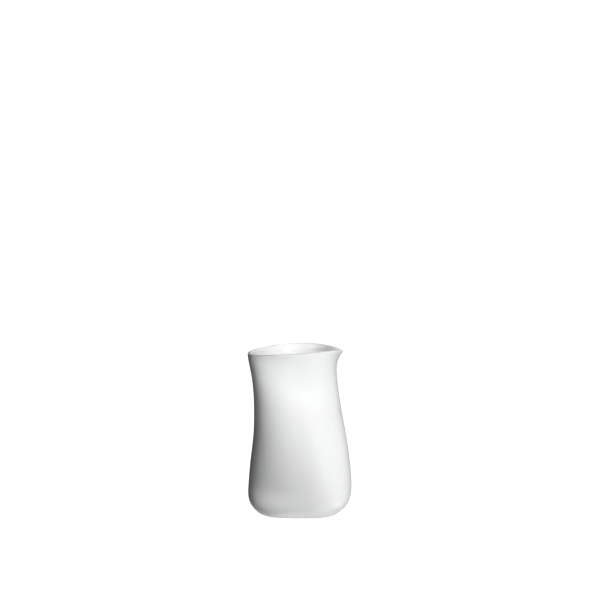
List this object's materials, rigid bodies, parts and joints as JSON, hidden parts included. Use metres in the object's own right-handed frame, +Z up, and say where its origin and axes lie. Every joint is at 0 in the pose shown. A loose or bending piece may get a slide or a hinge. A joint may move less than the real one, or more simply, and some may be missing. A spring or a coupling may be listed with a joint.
{
  "type": "flower vase",
  "caption": "Porcelain flower vase with a softly twisted body, a flared neck and a pulled pouring lip.",
  "frame": {"origin": "on the table, under the middle of the vase's bounding box", "axes": "+Z up, +X towards the pouring lip, -Y is the front side seen in the picture"},
  "size_m": [0.1004, 0.1014, 0.1604],
  "materials": {
    "porcelain_body": "unglazed porcelain, polished to a fine satin",
    "porcelain_base": "bare porcelain, matt",
    "clear_glaze": "gloss clear glaze over white porcelain"
  },
  "bodies": {
    "root": {"vase_wall": "porcelain_body", "base_slab": "porcelain_base", "inner_glaze": "clear_glaze"}
  },
  "joints": []
}
